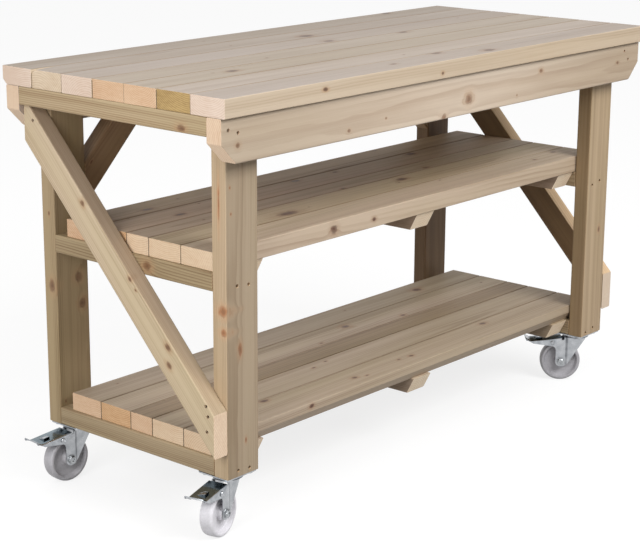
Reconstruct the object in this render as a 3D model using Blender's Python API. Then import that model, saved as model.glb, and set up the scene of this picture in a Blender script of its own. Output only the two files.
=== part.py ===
"""A mobile workbench: a planed softwood frame with two shelves, on four braked swivel casters.

X runs along the bench, -Y is its front, +Z is up. The origin is on the floor under its middle.
"""

import math

import bmesh
import bpy
from mathutils import Matrix, Vector

# Timber stock: planed studwork with eased arrises
TIMBER_THICKNESS = 0.038
WIDE_TIMBER_WIDTH = 0.089
NARROW_TIMBER_WIDTH = 0.063
ARRIS_RADIUS = 0.003
ARRIS_STEPS = 2

# Gaps between timbers: bearing faces, and boards laid side by side
SEAT_GAP = 0.0003
BOARD_GAP = 0.0005

# Tabletop and the rails under it
BENCH_LENGTH = 1.460
TOP_BOARD_COUNT = 7
RAIL_SETBACK = 0.010
RAIL_CLIP = 0.040

# Posts, set in from the ends of the rails
POST_INSET = 0.050
POST_LENGTH = 0.690

# Shelves: the bottom one is level with the feet of the posts
SHELF_SPACING = 0.378
SHELF_FRONT_GAP = 0.001
SHELF_END_INSET = 0.006
BATTEN_SETBACK = 0.005
BATTEN_SLOPE = 0.020

# End braces, measured to their lower edges, and the knee braces at the back
BRACE_FOOT_RISE = 0.054
BRACE_HEAD_DROP = 0.076
KNEE_DROP = 0.263
KNEE_ANGLE = math.radians(45)

# Caster wheel and axle
WHEEL_DIAMETER = 0.100
WHEEL_WIDTH = 0.030
TREAD_EDGE = 0.003
RIM_DEPTH = 0.010
WEB_THICKNESS = 0.014
HUB_RADIUS = 0.014
HUB_PROUD = 0.001
AXLE_RADIUS = 0.006
AXLE_HEX_RADIUS = 0.0095
AXLE_HEX_HEIGHT = 0.006
RUNNING_GAP = 0.0003

# Caster fork: a pressed channel with a round race cup on its crown
CASTER_TRAIL = 0.038
HUB_CLEARANCE = 0.0015
FORK_SHEET = 0.0025
CROWN_SHEET = 0.004
CROWN_FRONT = 0.022
CROWN_BACK = 0.030
LEG_END_RADIUS = 0.015
CUP_RADIUS = 0.029
CUP_RISE = 0.005

# Caster top plate with its kingpin
PLATE_LENGTH = 0.088
PLATE_WIDTH = 0.084
PLATE_THICKNESS = 0.003
PLATE_CORNER = 0.008
PLATE_INSET = 0.002
PLATE_HOLE_INSET = 0.012
PLATE_HOLE_RADIUS = 0.0045
BOSS_RADIUS = 0.025
BOSS_DROP = 0.0028
RACE_GAP = 0.0004
KINGPIN_RADIUS = 0.006
RIVET_RADIUS = 0.010
RIVET_HEIGHT = 0.003
WHEEL_HEADROOM = 0.0075

# Brake pedal: a folded channel over the fork, pivoted on two studs
PIVOT_OUT = 0.022
PIVOT_DROP = 0.011
STUD_RADIUS = 0.003
STUD_HEAD_RADIUS = 0.0055
STUD_HEAD_HEIGHT = 0.0025
EAR_RADIUS = 0.0065
PEDAL_SHEET = 0.002
PEDAL_SIDE_GAP = 0.0004
PEDAL_HEADROOM = 0.0015
PEDAL_BACK = 0.014
PEDAL_REACH = 0.054
PEDAL_LIP = 0.012
PEDAL_LIP_RISE = 0.009
FLANGE_DEPTH = 0.019
FLANGE_TIP_DEPTH = 0.007
FOLDED_EDGE = 0.003
PEDAL_REST_TILT = math.radians(6)
PEDAL_TRAVEL = math.radians(10)
SHOE_OUT = 0.0175
SHOE_WIDTH = 0.020
SHOE_THICKNESS = 0.0025
SHOE_CLEARANCE = 0.0005

# Way each caster trails as it stands, from +X
CASTER_TURN = {
    "front_left": math.radians(193),
    "front_right": math.radians(130),
    "back_left": math.radians(176),
    "back_right": math.radians(4),
}

# Facets round a turned piece, and what is cut well past a face
ROUND_STEPS = 24
WHEEL_STEPS = 28
CUT_PAST = 0.010

# Heights of the caster, from the floor up
axle_height = WHEEL_DIAMETER / 2
rivet_bottom = WHEEL_DIAMETER + WHEEL_HEADROOM
crown_bottom = rivet_bottom + RIVET_HEIGHT + SEAT_GAP
crown_top = crown_bottom + CROWN_SHEET
cup_top = crown_top + CUP_RISE
boss_bottom = cup_top + RACE_GAP
plate_bottom = boss_bottom + BOSS_DROP
plate_top = plate_bottom + PLATE_THICKNESS

# Heights of the frame, from the casters up
post_bottom = plate_top + SEAT_GAP
post_top = post_bottom + POST_LENGTH
end_rail_bottom = post_top + SEAT_GAP
frame_top = end_rail_bottom + TIMBER_THICKNESS
tabletop_bottom = frame_top + SEAT_GAP

# Plan of the frame
tabletop_depth = TOP_BOARD_COUNT * WIDE_TIMBER_WIDTH + (TOP_BOARD_COUNT - 1) * BOARD_GAP
rail_outer = tabletop_depth / 2 - RAIL_SETBACK
rail_inner = rail_outer - TIMBER_THICKNESS
post_outer = rail_inner - SEAT_GAP
post_inner = post_outer - TIMBER_THICKNESS
post_end = BENCH_LENGTH / 2 - POST_INSET
post_middle = post_end - WIDE_TIMBER_WIDTH / 2
post_side = post_end - WIDE_TIMBER_WIDTH

# Widths across the caster, from its middle plane out
hub_half = WHEEL_WIDTH / 2 + HUB_PROUD
leg_inner = hub_half + HUB_CLEARANCE
leg_outer = leg_inner + FORK_SHEET
flange_inner = leg_outer + PEDAL_SIDE_GAP
flange_outer = flange_inner + PEDAL_SHEET
pivot_x = CASTER_TRAIL + PIVOT_OUT
pivot_z = crown_bottom - PIVOT_DROP

X_AXIS = Vector((1, 0, 0))
Y_AXIS = Vector((0, 1, 0))
Z_AXIS = Vector((0, 0, 1))


def clear_scene():
    for old in list(bpy.data.objects):
        bpy.data.objects.remove(old, do_unlink=True)


def make_material(name, colour, roughness, metallic=0.0):
    material = bpy.data.materials.new(name)
    material.use_nodes = True
    shader = material.node_tree.nodes["Principled BSDF"]
    shader.inputs["Base Color"].default_value = (*colour, 1.0)
    shader.inputs["Roughness"].default_value = roughness
    shader.inputs["Metallic"].default_value = metallic
    return material


def arc(centre, radius, start, end, steps):
    """Points of an arc in a plane, its angles in degrees, both ends included."""
    angles = [math.radians(start + (end - start) * i / steps) for i in range(steps + 1)]
    return [(centre[0] + radius * math.cos(a), centre[1] + radius * math.sin(a)) for a in angles]


def rounded_rectangle(width, height, radius, steps):
    """Outline of a rectangle about the origin, with a rounded corner in each quarter."""
    across = width / 2 - radius
    up = height / 2 - radius
    corners = ((across, up), (-across, up), (-across, -up), (across, -up))
    outline = []
    for quarter, corner in enumerate(corners):
        outline += arc(corner, radius, 90 * quarter, 90 * (quarter + 1), steps)
    return outline


def circle(radius, steps):
    return arc((0, 0), radius, 0, 360 * (steps - 1) / steps, steps - 1)


def hexagon(radius, steps):
    """A hexagon with as many points as a circle of these steps, so that the two can be skinned."""
    points = []
    for x, y in circle(1, steps):
        from_flat = (math.atan2(y, x) + math.pi / 6) % (math.pi / 3) - math.pi / 6
        reach = radius * math.cos(math.pi / 6) / math.cos(from_flat)
        points.append((reach * x, reach * y))
    return points


def skin(rings, looped=False):
    """A closed shell over rings of as many points each, capped at its ends or looped into a ring."""
    shell = bmesh.new()
    loops = [[shell.verts.new(point) for point in ring] for ring in rings]
    followers = loops[1:] + loops[:1] if looped else loops[1:]
    for loop, follower in zip(loops, followers):
        for i in range(len(loop)):
            after = (i + 1) % len(loop)
            shell.faces.new((loop[i], loop[after], follower[after], follower[i]))
    if not looped:
        shell.faces.new(loops[0])
        shell.faces.new(loops[-1])
    bmesh.ops.recalc_face_normals(shell, faces=shell.faces[:])
    return shell


def upright(outline, low, high):
    """A prism standing on the XY plane."""
    return skin([[(x, y, z) for x, y in outline] for z in (low, high)])


def crosswise(outline, low, high):
    """A prism along Y, its outline given in X and Z."""
    return skin([[(x, y, z) for x, z in outline] for y in (low, high)])


def finish_mesh(shell, name):
    mesh = bpy.data.meshes.new(name)
    shell.to_mesh(mesh)
    shell.free()
    mesh.shade_smooth()
    mesh.set_sharp_from_angle(angle=math.radians(30))
    return mesh


def join_shells(shells, name):
    """One mesh holding several separate shells, for use in a Boolean."""
    joined = bmesh.new()
    for shell in shells:
        single = bpy.data.meshes.new(name)
        shell.to_mesh(single)
        shell.free()
        joined.from_mesh(single)
        bpy.data.meshes.remove(single)
    return finish_mesh(joined, name)


def new_object(name, mesh, material):
    made = bpy.data.objects.new(name, mesh)
    if not mesh.materials:
        mesh.materials.append(material)
    bpy.context.scene.collection.objects.link(made)
    return made


def combine(name, body, steps):
    """The mesh left when shells are joined to, cut from or kept from a body, one step after another."""
    base = bpy.data.objects.new(name, finish_mesh(body, name))
    bpy.context.scene.collection.objects.link(base)
    helpers = [base]
    for operation, shells in steps:
        tool = bpy.data.objects.new(f"{name}_tool", join_shells(shells, f"{name}_tool"))
        bpy.context.scene.collection.objects.link(tool)
        helpers.append(tool)
        modifier = base.modifiers.new(operation, "BOOLEAN")
        modifier.operation = operation
        modifier.object = tool
    bpy.context.view_layer.update()
    evaluated = base.evaluated_get(bpy.context.evaluated_depsgraph_get())
    mesh = bpy.data.meshes.new_from_object(evaluated)
    mesh.name = name
    for helper in helpers:
        bpy.data.objects.remove(helper, do_unlink=True)
    mesh.materials.clear()
    mesh.shade_smooth()
    mesh.set_sharp_from_angle(angle=math.radians(30))
    return mesh


def timber(name, material, length, width, middle, along, across, cuts=()):
    """A board of the stock thickness, its length and width laid along two world axes.

    Each cut is a point and a normal: what lies past that plane is sawn off.
    """
    through = along.cross(across)
    frame = Matrix.Translation(middle) @ Matrix((along, across, through)).transposed().to_4x4()
    section = rounded_rectangle(width, TIMBER_THICKNESS, ARRIS_RADIUS, ARRIS_STEPS)
    board = skin([[(x, y, z) for y, z in section] for x in (-length / 2, length / 2)])
    for point, normal in cuts:
        bmesh.ops.bisect_plane(
            board,
            geom=board.verts[:] + board.edges[:] + board.faces[:],
            plane_co=frame.inverted() @ Vector(point),
            plane_no=frame.to_3x3().transposed() @ Vector(normal),
            clear_outer=True,
        )
        open_edges = [edge for edge in board.edges if edge.is_boundary]
        bmesh.ops.holes_fill(board, edges=open_edges)
    bmesh.ops.recalc_face_normals(board, faces=board.faces[:])
    made = new_object(name, finish_mesh(board, name), material)
    made.matrix_world = frame
    return made


def build_tabletop(material):
    """Seven boards laid flat, number 1 at the front."""
    pitch = WIDE_TIMBER_WIDTH + BOARD_GAP
    height = tabletop_bottom + TIMBER_THICKNESS / 2
    for i in range(TOP_BOARD_COUNT):
        y = (i - (TOP_BOARD_COUNT - 1) / 2) * pitch
        middle = (0, y, height)
        timber(f"top_board_{i + 1}", material, BENCH_LENGTH, WIDE_TIMBER_WIDTH, middle, X_AXIS, Y_AXIS)


def build_top_frame(material):
    """Long rails on edge, and flat cross timbers between them: one at each end, one in the middle."""
    end = BENCH_LENGTH / 2
    clip_height = frame_top - WIDE_TIMBER_WIDTH + RAIL_CLIP
    for name, side in (("rail_front", -1), ("rail_back", 1)):
        clips = [((x * end, 0, clip_height), (x, 0, -1)) for x in (-1, 1)]
        middle = (0, side * (rail_outer - TIMBER_THICKNESS / 2), frame_top - WIDE_TIMBER_WIDTH / 2)
        timber(name, material, BENCH_LENGTH, WIDE_TIMBER_WIDTH, middle, X_AXIS, Z_AXIS, clips)
    length = 2 * (rail_inner - SEAT_GAP)
    height = frame_top - TIMBER_THICKNESS / 2
    cross_middle = end - WIDE_TIMBER_WIDTH / 2
    for name, x in (("end_rail_left", -cross_middle), ("top_bearer", 0), ("end_rail_right", cross_middle)):
        timber(name, material, length, WIDE_TIMBER_WIDTH, (x, 0, height), Y_AXIS, X_AXIS)


def build_posts(material):
    height = (post_bottom + post_top) / 2
    depth = (post_outer + post_inner) / 2
    for end, side in (("left", -1), ("right", 1)):
        for face, way in (("front", -1), ("back", 1)):
            middle = (side * post_middle, way * depth, height)
            timber(f"post_{face}_{end}", material, POST_LENGTH, WIDE_TIMBER_WIDTH, middle, Z_AXIS, X_AXIS)


def build_shelf(name, material, bottom):
    """Five boards on two flat bearers between the posts, tied by three battens with sloping ends."""
    bearer_middle = bottom + TIMBER_THICKNESS / 2
    for end, side in (("left", -1), ("right", 1)):
        timber(f"{name}_bearer_{end}", material, 2 * (post_inner - SEAT_GAP), WIDE_TIMBER_WIDTH,
               (side * post_middle, 0, bearer_middle), Y_AXIS, X_AXIS)
    board_middle = bottom + TIMBER_THICKNESS + SEAT_GAP + TIMBER_THICKNESS / 2
    length = 2 * (post_end - SHELF_END_INSET)
    front = -post_inner + SHELF_FRONT_GAP
    edge = front
    wide_pair = (WIDE_TIMBER_WIDTH, WIDE_TIMBER_WIDTH)
    for i, width in enumerate((*wide_pair, NARROW_TIMBER_WIDTH, *wide_pair)):
        middle = (0, edge + width / 2, board_middle)
        timber(f"{name}_board_{i + 1}", material, length, width, middle, X_AXIS, Y_AXIS)
        edge += width + BOARD_GAP
    back = edge - BOARD_GAP
    batten_front = front + BATTEN_SETBACK
    batten_back = back - BATTEN_SETBACK
    batten_top = bottom + TIMBER_THICKNESS
    slopes = (
        ((0, batten_front, batten_top), (0, -TIMBER_THICKNESS, -BATTEN_SLOPE)),
        ((0, batten_back, batten_top), (0, TIMBER_THICKNESS, -BATTEN_SLOPE)),
    )
    beside_bearer = post_side - SEAT_GAP - NARROW_TIMBER_WIDTH / 2
    for place, x in (("left", -beside_bearer), ("centre", 0), ("right", beside_bearer)):
        middle = (x, (batten_front + batten_back) / 2, bearer_middle)
        timber(f"{name}_batten_{place}", material, batten_back - batten_front, NARROW_TIMBER_WIDTH,
               middle, Y_AXIS, X_AXIS, slopes)


def build_end_braces(material):
    """A diagonal on the outer faces of each end's posts, from the front foot up to under the end rail."""
    foot = Vector((0, -post_outer, post_bottom + BRACE_FOOT_RISE))
    head = Vector((0, post_outer, post_top - BRACE_HEAD_DROP))
    along = (head - foot).normalized()
    upward = X_AXIS.cross(along)
    length = (head - foot).length + 2 * NARROW_TIMBER_WIDTH
    outside = post_end + SEAT_GAP + TIMBER_THICKNESS / 2
    cuts = (
        ((0, -post_outer, 0), (0, -1, 0)),
        ((0, post_outer, 0), (0, 1, 0)),
        ((0, 0, post_top), (0, 0, 1)),
    )
    for end, side in (("left", -1), ("right", 1)):
        middle = (foot + head) / 2 + upward * NARROW_TIMBER_WIDTH / 2 + X_AXIS * side * outside
        timber(f"end_brace_{end}", material, length, NARROW_TIMBER_WIDTH, middle, along, upward, cuts)


def build_knee_braces(material):
    """A slanting piece from the inner side of each back post up the back rail to the tabletop."""
    rise = frame_top - KNEE_DROP
    for end, side in (("left", -1), ("right", 1)):
        inward = -side
        start = Vector((side * (post_side - SEAT_GAP), (post_outer + post_inner) / 2, rise))
        along = Vector((inward * math.cos(KNEE_ANGLE), 0, math.sin(KNEE_ANGLE)))
        upward = Vector((-inward * math.sin(KNEE_ANGLE), 0, math.cos(KNEE_ANGLE)))
        overshoot = NARROW_TIMBER_WIDTH / math.tan(KNEE_ANGLE)
        reach = KNEE_DROP / math.sin(KNEE_ANGLE) + overshoot
        middle = start + along * (reach - overshoot) / 2 + upward * NARROW_TIMBER_WIDTH / 2
        cuts = (
            (start, (side, 0, 0)),
            ((0, 0, frame_top), (0, 0, 1)),
        )
        length = reach + overshoot
        timber(f"knee_brace_{end}", material, length, NARROW_TIMBER_WIDTH, middle, along, upward, cuts)


def wheel_mesh():
    """A moulded wheel about Y, its sides hollowed between rim and hub.

    Its facets touch the tread circle from outside, and one of them lies on the floor.
    """
    half = WHEEL_WIDTH / 2
    radius = WHEEL_DIAMETER / 2
    web = WEB_THICKNESS / 2
    bore = AXLE_RADIUS + RUNNING_GAP
    rim_inner = radius - RIM_DEPTH
    side = (
        (bore, hub_half),
        (HUB_RADIUS, hub_half),
        (HUB_RADIUS + HUB_PROUD, web),
        (rim_inner - half + web, web),
        (rim_inner, half),
        (radius - TREAD_EDGE, half),
        (radius, half - TREAD_EDGE),
    )
    profile = list(side) + [(r, -y) for r, y in reversed(side)]
    half_facet = 180 / WHEEL_STEPS
    rings = []
    for r, y in profile:
        to_corner = r / math.cos(math.radians(half_facet))
        ring = arc((0, 0), to_corner, half_facet, 360 - half_facet, WHEEL_STEPS - 1)
        rings.append([(x, y, z) for x, z in ring])
    return finish_mesh(skin(rings, looped=True), "wheel")


def axle_mesh():
    """A bolt along Y through the fork's legs, with its head and nut seated on them."""
    seat = leg_outer + SEAT_GAP
    end = seat + AXLE_HEX_HEIGHT
    hexed = hexagon(AXLE_HEX_RADIUS, ROUND_STEPS)
    shaft = circle(AXLE_RADIUS, ROUND_STEPS)
    stations = ((-end, hexed), (-seat, hexed), (-seat, shaft), (seat, shaft), (seat, hexed), (end, hexed))
    return finish_mesh(skin([[(x, y, z) for x, z in ring] for y, ring in stations]), "axle")


def fork_mesh():
    """A pressed channel, sawn to the outline of its legs, with its race cup, pivot studs and bores."""
    low = axle_height - LEG_END_RADIUS - CUT_PAST
    channel = (
        (-leg_outer, low), (-leg_outer, crown_top), (leg_outer, crown_top), (leg_outer, low),
        (leg_inner, low), (leg_inner, crown_bottom), (-leg_inner, crown_bottom), (-leg_inner, low),
    )
    ends = (-CROWN_FRONT - CUT_PAST, pivot_x + EAR_RADIUS + CUT_PAST)
    body = skin([[(x, y, z) for y, z in channel] for x in ends])

    ear_top = pivot_z + EAR_RADIUS
    ear_root = pivot_z - EAR_RADIUS - PIVOT_OUT + LEG_END_RADIUS
    outline = [(-CROWN_FRONT, crown_top + CUT_PAST), (-CROWN_FRONT, crown_bottom)]
    corner_out = CASTER_TRAIL + CROWN_FRONT
    corner_up = crown_bottom - axle_height
    off_tangent = math.acos(LEG_END_RADIUS / math.hypot(corner_out, corner_up))
    tangent = math.degrees(math.atan2(corner_up, -corner_out) + off_tangent)
    outline += arc((CASTER_TRAIL, axle_height), LEG_END_RADIUS, tangent, 360, 8)
    outline += [(CASTER_TRAIL + LEG_END_RADIUS, ear_root)]
    outline += arc((pivot_x, pivot_z), EAR_RADIUS, -45, 90, 5)
    outline += [(CROWN_BACK, ear_top), (CROWN_BACK, crown_top + CUT_PAST)]
    side_view = crosswise(outline, -leg_outer - CUT_PAST, leg_outer + CUT_PAST)

    cup = upright(circle(CUP_RADIUS, ROUND_STEPS), crown_top - CROWN_SHEET / 2, cup_top)
    stud = circle(STUD_RADIUS, ROUND_STEPS)
    stud_head = circle(STUD_HEAD_RADIUS, ROUND_STEPS)
    head_seat = flange_outer + PEDAL_SIDE_GAP
    additions = [cup]
    for side in (-1, 1):
        stations = (
            (leg_outer - FORK_SHEET / 2, stud),
            (head_seat, stud),
            (head_seat, stud_head),
            (head_seat + STUD_HEAD_HEIGHT, stud_head),
        )
        rings = [[(pivot_x + x, side * y, pivot_z + z) for x, z in ring] for y, ring in stations]
        additions.append(skin(rings))

    round_axle = circle(AXLE_RADIUS + RUNNING_GAP, ROUND_STEPS)
    axle_bore = [(CASTER_TRAIL + x, axle_height + z) for x, z in round_axle]
    round_kingpin = circle(KINGPIN_RADIUS + RUNNING_GAP, ROUND_STEPS)
    bores = [
        crosswise(axle_bore, -leg_outer - CUT_PAST, leg_outer + CUT_PAST),
        upright(round_kingpin, crown_bottom - CUT_PAST, cup_top + CUT_PAST),
    ]
    return combine("fork", body, (("INTERSECT", [side_view]), ("UNION", additions), ("DIFFERENCE", bores)))


def plate_mesh():
    """A square plate with its screw holes, upper race boss and kingpin, riveted over under the crown."""
    outline = rounded_rectangle(PLATE_LENGTH, PLATE_WIDTH, PLATE_CORNER, ARRIS_STEPS)
    body = upright(outline, plate_bottom, plate_top)
    rivet_top = crown_bottom - SEAT_GAP
    stations = (
        (plate_bottom + PLATE_THICKNESS / 2, BOSS_RADIUS),
        (boss_bottom, BOSS_RADIUS),
        (boss_bottom, KINGPIN_RADIUS),
        (rivet_top, KINGPIN_RADIUS),
        (rivet_top, RIVET_RADIUS),
        (rivet_bottom, RIVET_RADIUS),
    )
    kingpin = skin([[(x, y, z) for x, y in circle(radius, ROUND_STEPS)] for z, radius in stations])
    holes = []
    for way_x in (-1, 1):
        for way_y in (-1, 1):
            x = way_x * (PLATE_LENGTH / 2 - PLATE_HOLE_INSET)
            y = way_y * (PLATE_WIDTH / 2 - PLATE_HOLE_INSET)
            hole = [(x + a, y + b) for a, b in circle(PLATE_HOLE_RADIUS, ROUND_STEPS // 2)]
            holes.append(upright(hole, plate_bottom - CUT_PAST, plate_top + CUT_PAST))
    return combine("plate", body, (("UNION", [kingpin]), ("DIFFERENCE", holes)))


def shoe_bottom():
    """Height of the shoe's end from the pivot, clear of the tread when the pedal is fully down."""
    tilt = PEDAL_REST_TILT + PEDAL_TRAVEL
    outward = Vector((math.cos(tilt), -math.sin(tilt)))
    upward = Vector((math.sin(tilt), math.cos(tilt)))
    from_axle = Vector((PIVOT_OUT, pivot_z - axle_height))
    reach = WHEEL_DIAMETER / 2 + SHOE_CLEARANCE
    heights = []
    for side in (-1, 1):
        corner = from_axle + outward * (SHOE_OUT + side * SHOE_THICKNESS / 2)
        lift = corner.dot(upward)
        heights.append(math.sqrt(lift * lift - corner.length_squared + reach * reach) - lift)
    return max(heights)


def pedal_mesh():
    """A folded channel about its pivot: deep sides at the pivot, a turned-up lip at the tip, a brake shoe."""
    top = EAR_RADIUS + PEDAL_HEADROOM + PEDAL_SHEET
    lip = PEDAL_REACH + PEDAL_LIP
    stations = (
        (-PEDAL_BACK, top, FLANGE_TIP_DEPTH),
        (-STUD_HEAD_RADIUS, top, FLANGE_DEPTH),
        (STUD_HEAD_RADIUS, top, FLANGE_DEPTH),
        (PEDAL_REACH - FOLDED_EDGE, top, FLANGE_TIP_DEPTH),
        (PEDAL_REACH, top, FOLDED_EDGE),
        (lip, top + PEDAL_LIP_RISE, FOLDED_EDGE),
    )
    rings = []
    for x, high, depth in stations:
        low = high - depth
        under = high - PEDAL_SHEET
        channel = (
            (-flange_outer, low), (-flange_outer, high), (flange_outer, high), (flange_outer, low),
            (flange_inner, low), (flange_inner, under), (-flange_inner, under), (-flange_inner, low),
        )
        rings.append([(x, y, z) for y, z in channel])
    body = skin(rings)
    shoe_inner = SHOE_OUT - SHOE_THICKNESS / 2
    shoe_outer = SHOE_OUT + SHOE_THICKNESS / 2
    shoe_top = top - PEDAL_SHEET / 2
    shoe_low = shoe_bottom()
    shoe_outline = (
        (shoe_inner, shoe_low), (shoe_outer, shoe_low), (shoe_outer, shoe_top), (shoe_inner, shoe_top),
    )
    shoe = crosswise(shoe_outline, -SHOE_WIDTH / 2, SHOE_WIDTH / 2)
    pivot = circle(STUD_RADIUS + RUNNING_GAP, ROUND_STEPS)
    bore = crosswise(pivot, -flange_outer - CUT_PAST, flange_outer + CUT_PAST)
    return combine("pedal", body, (("UNION", [shoe]), ("DIFFERENCE", [bore])))


def build_casters(zinc, steel, nylon):
    """A plate under each post, with a fork that swivels under it and carries axle, wheel and pedal."""
    plate = plate_mesh()
    fork = fork_mesh()
    axle = axle_mesh()
    wheel = wheel_mesh()
    pedal = pedal_mesh()
    in_from_face = post_outer - PLATE_INSET - PLATE_WIDTH / 2
    for corner, turn in CASTER_TURN.items():
        face, end = corner.split("_")
        x = post_middle if end == "right" else -post_middle
        y = in_from_face if face == "back" else -in_from_face
        new_object(f"caster_plate_{corner}", plate, zinc).location = (x, y, 0)
        swivel = new_object(f"fork_{corner}", fork, zinc)
        swivel.location = (x, y, 0)
        swivel.rotation_euler.z = turn
        for name, mesh, material in (("axle", axle, steel), ("wheel", wheel, nylon)):
            held = new_object(f"{name}_{corner}", mesh, material)
            held.parent = swivel
            held.location = (CASTER_TRAIL, 0, axle_height)
        lever = new_object(f"pedal_{corner}", pedal, steel)
        lever.parent = swivel
        lever.location = (pivot_x, 0, pivot_z)
        lever.rotation_euler.y = PEDAL_REST_TILT


clear_scene()
build_tabletop(make_material("tabletop_timber", (0.52, 0.45, 0.34), 0.62))
build_top_frame(make_material("rail_timber", (0.58, 0.46, 0.33), 0.62))
build_posts(make_material("post_timber", (0.42, 0.32, 0.20), 0.62))
shelf_timber = make_material("shelf_timber", (0.38, 0.30, 0.22), 0.65)
build_shelf("bottom", shelf_timber, post_bottom)
build_shelf("mid", shelf_timber, post_bottom + SHELF_SPACING)
brace_timber = make_material("brace_timber", (0.50, 0.38, 0.24), 0.62)
build_end_braces(brace_timber)
build_knee_braces(brace_timber)
build_casters(
    make_material("zinc_plate", (0.62, 0.64, 0.66), 0.35, 1.0),
    make_material("bright_steel", (0.55, 0.57, 0.60), 0.30, 1.0),
    make_material("white_nylon", (0.82, 0.82, 0.80), 0.45),
)
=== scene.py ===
import math
import random
from itertools import product

import bmesh
import bpy
from mathutils import Matrix, Vector


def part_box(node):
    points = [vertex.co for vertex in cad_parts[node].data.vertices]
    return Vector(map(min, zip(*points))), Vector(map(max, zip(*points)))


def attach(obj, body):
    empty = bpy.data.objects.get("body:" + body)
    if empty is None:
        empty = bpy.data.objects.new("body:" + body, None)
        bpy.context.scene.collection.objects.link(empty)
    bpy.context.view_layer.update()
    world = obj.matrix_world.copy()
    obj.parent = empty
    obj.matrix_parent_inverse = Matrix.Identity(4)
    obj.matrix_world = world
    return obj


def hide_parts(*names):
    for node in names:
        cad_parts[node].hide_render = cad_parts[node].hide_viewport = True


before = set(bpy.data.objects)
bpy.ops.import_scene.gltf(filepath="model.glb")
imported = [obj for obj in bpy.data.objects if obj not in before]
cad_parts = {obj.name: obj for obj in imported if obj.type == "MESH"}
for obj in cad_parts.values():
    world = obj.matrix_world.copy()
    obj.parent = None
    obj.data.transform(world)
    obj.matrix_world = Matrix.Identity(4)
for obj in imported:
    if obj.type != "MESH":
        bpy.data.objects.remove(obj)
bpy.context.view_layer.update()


# Posts
# Four legs of planed softwood studding, pressure treated, which gives the pine its grey-green cast.
# They stand inside the long rails, wide faces to the front and back, screwed with sunk heads.

X_AXIS = Vector((1, 0, 0))
Y_AXIS = Vector((0, 1, 0))
Z_AXIS = Vector((0, 0, 1))
shift = Matrix.Translation

ARRIS = 0.0034
ARRIS_STEPS = 4
SAWN_EDGE = 0.0010
SHARP_ANGLE = math.radians(32)
SCREW_HOLE_RADIUS = 0.0037
SCREW_HOLE_DEPTH = 0.007
KNOT_TAPER = 30.0
BOARD_TINT = 0.05
SEAM_WIDTH = 0.004
EDGE_KNOT_REACH = 0.002
KNOT_SEED_SHIFT = 100


def turn(angle, axis):
    return Matrix.Rotation(angle, 4, axis)


def paint(red, green, blue):
    """A colour as the eye reads it, nought to 255, in the linear terms that a shader takes."""
    linear = []
    for value in (red, green, blue):
        share = value / 255
        linear.append(share / 12.92 if share <= 0.04045 else ((share + 0.055) / 1.055) ** 2.4)
    return (*linear, 1.0)


class Shade:
    """One socket of a material. Arithmetic on it adds Math nodes, and node() adds any other kind."""

    def __init__(self, tree, socket=None):
        self.tree = tree
        self.socket = socket

    def node(self, kind, inputs, output=0, **settings):
        """Adds one node: its settings first, then the value or the link of each input."""
        added = self.tree.nodes.new("ShaderNode" + kind)
        for setting, value in settings.items():
            setattr(added, setting, value)
        for label, value in inputs.items():
            if isinstance(value, Shade):
                self.tree.links.new(value.socket, added.inputs[label])
            else:
                added.inputs[label].default_value = value
        return Shade(self.tree, added.outputs[output])

    def maths(self, operation, other=0.0):
        return self.node("Math", {0: self, 1: other}, operation=operation)

    def vector(self, operation, other=(0, 0, 0), output=0):
        return self.node("VectorMath", {0: self, 1: other}, output, operation=operation)

    def dot(self, way):
        return self.vector("DOT_PRODUCT", way, 1)

    def __add__(self, other):
        return self.maths("ADD", other)

    def __sub__(self, other):
        return self.maths("SUBTRACT", other)

    def __rsub__(self, other):
        return self.node("Math", {0: other, 1: self}, operation="SUBTRACT")

    def __mul__(self, other):
        return self.maths("MULTIPLY", other)

    def __truediv__(self, other):
        return self.maths("DIVIDE", other)

    def __pow__(self, other):
        return self.maths("POWER", other)

    def __abs__(self):
        return self.maths("ABSOLUTE")

    def rise(self, low, high):
        """Nought below low, one above high, and a smooth rise between the two."""
        limits = {"Value": self, "From Min": low, "From Max": high}
        return self.node("MapRange", limits, interpolation_type="SMOOTHSTEP")

    def between(self, first, second, mode="MIX"):
        """The first colour where this value is nought, the second where it is one."""
        sides = {0: self, 6: first, 7: second}
        return self.node("Mix", sides, 2, data_type="RGBA", blend_type=mode, clamp_factor=True)

    def mottle(self, stretch, seed, detail=2.0):
        """Soft chance variation about nought over this place, drawn out by three factors."""
        elsewhere = (seed * 1.7, seed * 0.9, -seed * 1.3)
        drawn = self.node("VectorMath", {0: self, 1: stretch, 2: elsewhere}, operation="MULTIPLY_ADD")
        return self.node("TexNoise", {"Vector": drawn, "Scale": 1.0, "Detail": detail}) - 0.5

    def coordinates(self, kind):
        return self.node("TexCoord", {}, kind)

    def within(self, setting):
        """This place as measured in the frame of a setting."""
        own_frame = {"Vector": self, "Location": setting.to_translation(), "Rotation": setting.to_euler()}
        return self.node("Mapping", own_frame, vector_type="TEXTURE")

    def part(self, number):
        """One of the three measures of this place."""
        return self.node("SeparateXYZ", {0: self}, number)

    def feed(self, shader, socket):
        self.tree.links.new(self.socket, shader.inputs[socket])

    def emboss(self, shader, strength, distance):
        """Takes this value as the fine relief of a surface."""
        relief = {"Strength": strength, "Distance": distance, "Height": self}
        self.node("Bump", relief).feed(shader, "Normal")


def new_finish(name):
    """An empty material, its shader, and a socket to start from."""
    material = bpy.data.materials.new(name)
    material.use_nodes = True
    return material, material.node_tree.nodes["Principled BSDF"], Shade(material.node_tree)


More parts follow.
